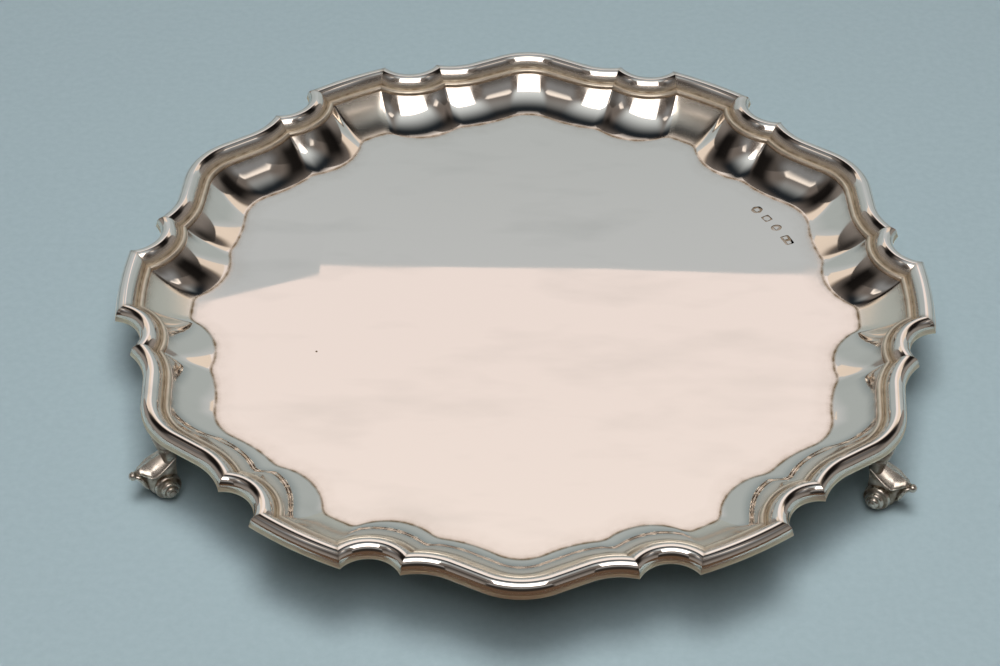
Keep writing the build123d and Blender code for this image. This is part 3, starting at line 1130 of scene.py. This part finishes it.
def put_up_cards():
    """Puts up what the silver reflects: the lit paper, walls and cards, and the dim room round them."""
    # Behind the tray: the paper's sweep low down, a lit wall over it, and a white board that leans forward
    back, sweep_top, wall_top = 2.6, 2.2, 3.35
    foot = glow("Paper foot", "#87959a", "#a8b4b8")
    wide_card("sweep_foot", 5, (back - 0.01, 0), (back - 0.01, 0.8), foot)
    sweep = glow("Paper sweep", "#a8b4b8", "#bdc6cc", 0.69, 1.03)
    wide_card("sweep", 5, (back, 0), (back, sweep_top), sweep)
    wall = glow("Back wall", "#e6dbcf", "#80776e", 0.6, 1.0)
    wide_card("back_wall", 5, (back, sweep_top), (back, wall_top), wall)
    board = glow("White board", "#efe9e9", "#f8f3f0", 0.0, 0.6)
    card("board", [(-0.85, 2.58, 2.183), (0.85, 2.58, 2.183), (0.36, 1.1, 2.9), (-0.36, 1.1, 2.9)], board)
    # The paper's left end, which turns up over the board's foot
    end = [(-0.9, 2.2, 1.8), (-0.31, 2.2, 1.8), (-0.325, 2.2, 1.879), (-0.75, 2.2, 2.02)]
    card("paper_end", end, glow("Paper end", "#bbc4ca"))
    # Over the camera: the large softbox, and the dim glow that it throws on the ceiling
    softbox = glow("Softbox", "#ffffff", strength=2.6, soft=0.04)
    sky_card("softbox", 1.5, [(-147, 45), (147, 45), (112, 72), (-112, 72)], softbox)
    halo = glow("Ceiling glow", "#20262c", "#dae5eb", 0.28, 0.86, soft=0.25)
    wide_card("ceiling_glow", 1.2, (1.3, 2.3), (-0.8, 2.3), halo)
    # At each side: a dark flag beside the board, a pale strip light and its spill, and the room's wall
    flag = glow("Dark flag", "#0d0c0c", "#1d1b1a", soft=0.35)
    spill = glow("Strip light spill", "#868b90", soft=0.5)
    strip = glow("Strip light", "#fff8f0", strength=1.5, soft=0.25)
    side_wall = glow("Side wall", "#8a8785", "#4b4846", 0.2, 0.8)
    for side, name in ((-1, "left"), (1, "right")):
        for kind, distance, reach, light in (
            ("flag", 2.2, [(8, 49), (70, 18), (100, 28), (12, 72)], flag),
            ("spill", 2.1, [(128, 30), (88, 36), (80, 66), (128, 70)], spill),
            ("strip", 2.0, [(112, 52), (98, 55), (95, 63), (109, 65)], strip),
        ):
            sky_card(f"{kind}_{name}", distance, [(side * a, e) for a, e in reach], light)
        corners = [(3.2, 3, 0), (3.2, -4, 0), (2.6, -3, 3.6), (2.6, 2.4, 3.6)]
        card(f"wall_{name}", [(side * x, y, z) for x, y, z in corners], side_wall)
    wide_card("room_ceiling", 6, (5, 3.6), (-5, 3.6), glow("Dim ceiling", "#6c6764"))
    # In front of the tray the paper ends, and the dark table shows, with the room's front wall beyond
    table = glow("Brown table", "#604f42", "#2b2420", 0.0, 0.2)
    wide_card("table_front", 2.5, (-0.14, 0.002), (-3.5, 0.002), table)
    front = glow("Front wall", "#2f2c2a", "#a3a6a9", 0.4, 1.0)
    wide_card("wall_front", 3, (-3.6, 0), (-3.6, 3.2), front)


def set_camera(scene, stage):
    """A long lens, level with the tray's axis but for a slight turn and roll."""
    data = bpy.data.cameras.new("camera")
    data.sensor_width = 36
    data.lens = stage.camera_lens
    data.clip_start, data.clip_end = 0.01, 50
    camera = bpy.data.objects.new("camera", data)
    elevation, turn = stage.camera_elevation, stage.camera_azimuth
    away = Vector((sin(turn) * cos(elevation), -cos(turn) * cos(elevation), sin(elevation)))
    place = Matrix.Translation(Vector(stage.camera_aim) + away * stage.camera_distance)
    look = away.to_track_quat("Z", "Y").to_matrix().to_4x4()
    camera.matrix_world = place @ look @ Matrix.Rotation(stage.camera_roll, 4, "Z")
    scene.collection.objects.link(camera)
    scene.camera = camera


class SALVER_OT_stage(bpy.types.Operator):
    """Lays the floor and sets the lights and the camera"""

    bl_idname = "salver.stage"
    bl_label = "Stage"

    def execute(self, context):
        scene = context.scene
        stage = scene.salver_stage
        lay_floor(stage.floor_size)
        put_up_cards()
        world = bpy.data.worlds.new("Studio")
        scene.world = world
        world.use_nodes = True
        world.node_tree.nodes["Background"].inputs["Color"].default_value = linear("#33302f")
        well = (0, 0, heights(scene.salver_tray)[0])
        area_lamp("key", (0, -0.05, 1.35), well, (0.65, 0.65), 14.5, "#fffdfc")
        area_lamp("front", direction(180, 62) * 1.5, well, (0.9, 0.8), 9, "#fffefd")
        set_camera(scene, stage)
        scene.view_settings.view_transform = "Standard"
        return {"FINISHED"}


class SALVER_PT_panel(bpy.types.Panel):
    """Lists the operators that build the salver"""

    bl_label = "Silver Salver"
    bl_space_type = "VIEW_3D"
    bl_region_type = "UI"
    bl_category = "Salver"

    def draw(self, context):
        for operator in OPERATORS:
            self.layout.operator(operator.bl_idname)


SETTINGS = {
    "salver_tray": SalverTraySettings,
    "salver_finish": SalverFinishSettings,
    "salver_stage": SalverStageSettings,
}
OPERATORS = (SALVER_OT_tray, SALVER_OT_border, SALVER_OT_feet, SALVER_OT_stage)
CLASSES = (*SETTINGS.values(), *OPERATORS, SALVER_PT_panel)


def register():
    for cls in CLASSES:
        bpy.utils.register_class(cls)
    for name, cls in SETTINGS.items():
        setattr(bpy.types.Scene, name, PointerProperty(type=cls))


def unregister():
    for name in SETTINGS:
        delattr(bpy.types.Scene, name)
    for cls in reversed(CLASSES):
        bpy.utils.unregister_class(cls)


def main():
    register()
    for operator in OPERATORS:
        group, name = operator.bl_idname.split(".")
        getattr(getattr(bpy.ops, group), name)()


if __name__ == "__main__":
    main()
